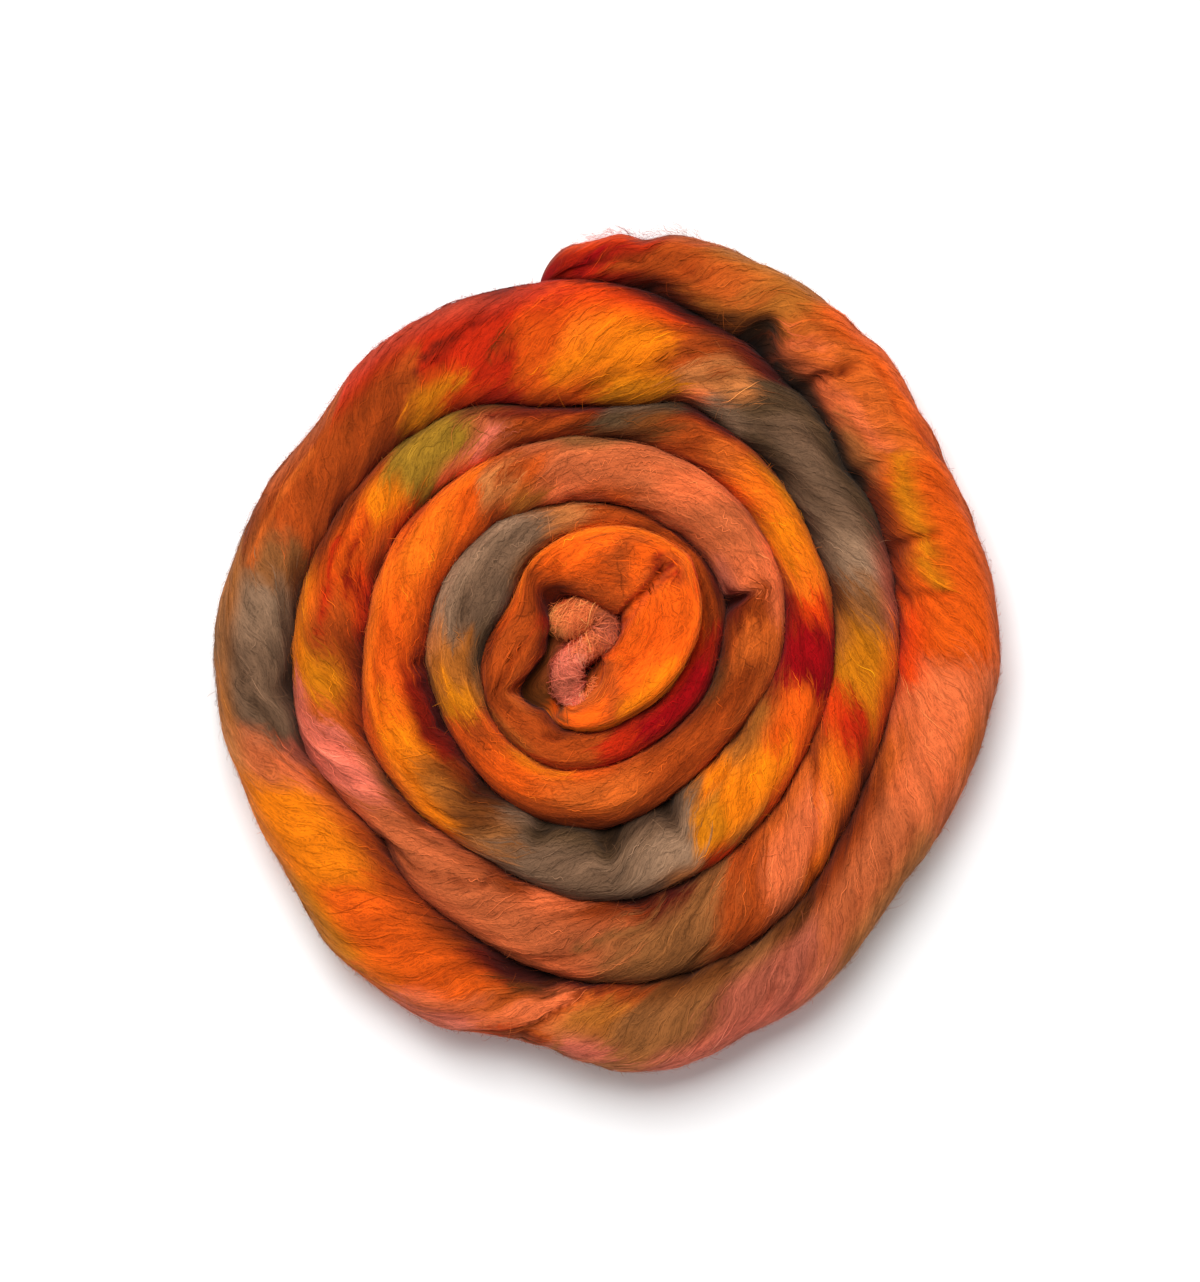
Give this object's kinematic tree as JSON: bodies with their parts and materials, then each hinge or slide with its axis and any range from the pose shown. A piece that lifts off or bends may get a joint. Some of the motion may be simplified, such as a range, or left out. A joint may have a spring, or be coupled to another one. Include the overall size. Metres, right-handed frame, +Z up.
{
  "type": "wool roving",
  "caption": "Long combed strand of dyed wool, wound flat into a soft spiral that lies on a table.",
  "frame": {"origin": "middle of the footprint, on the surface that the winding lies on", "axes": "+Z up, away from the table; seen from above with +X to the right, the tapered outer end lies at the +Y edge and the strand runs anticlockwise outwards"},
  "size_m": [0.3126, 0.3328, 0.036],
  "materials": {
    "dyed_wool": "matt and fluffy, hand-dyed in orange, amber, scarlet, salmon, rust brown and taupe grey stretches"
  },
  "bodies": {
    "root": {"roving": "dyed_wool"}
  },
  "joints": []
}
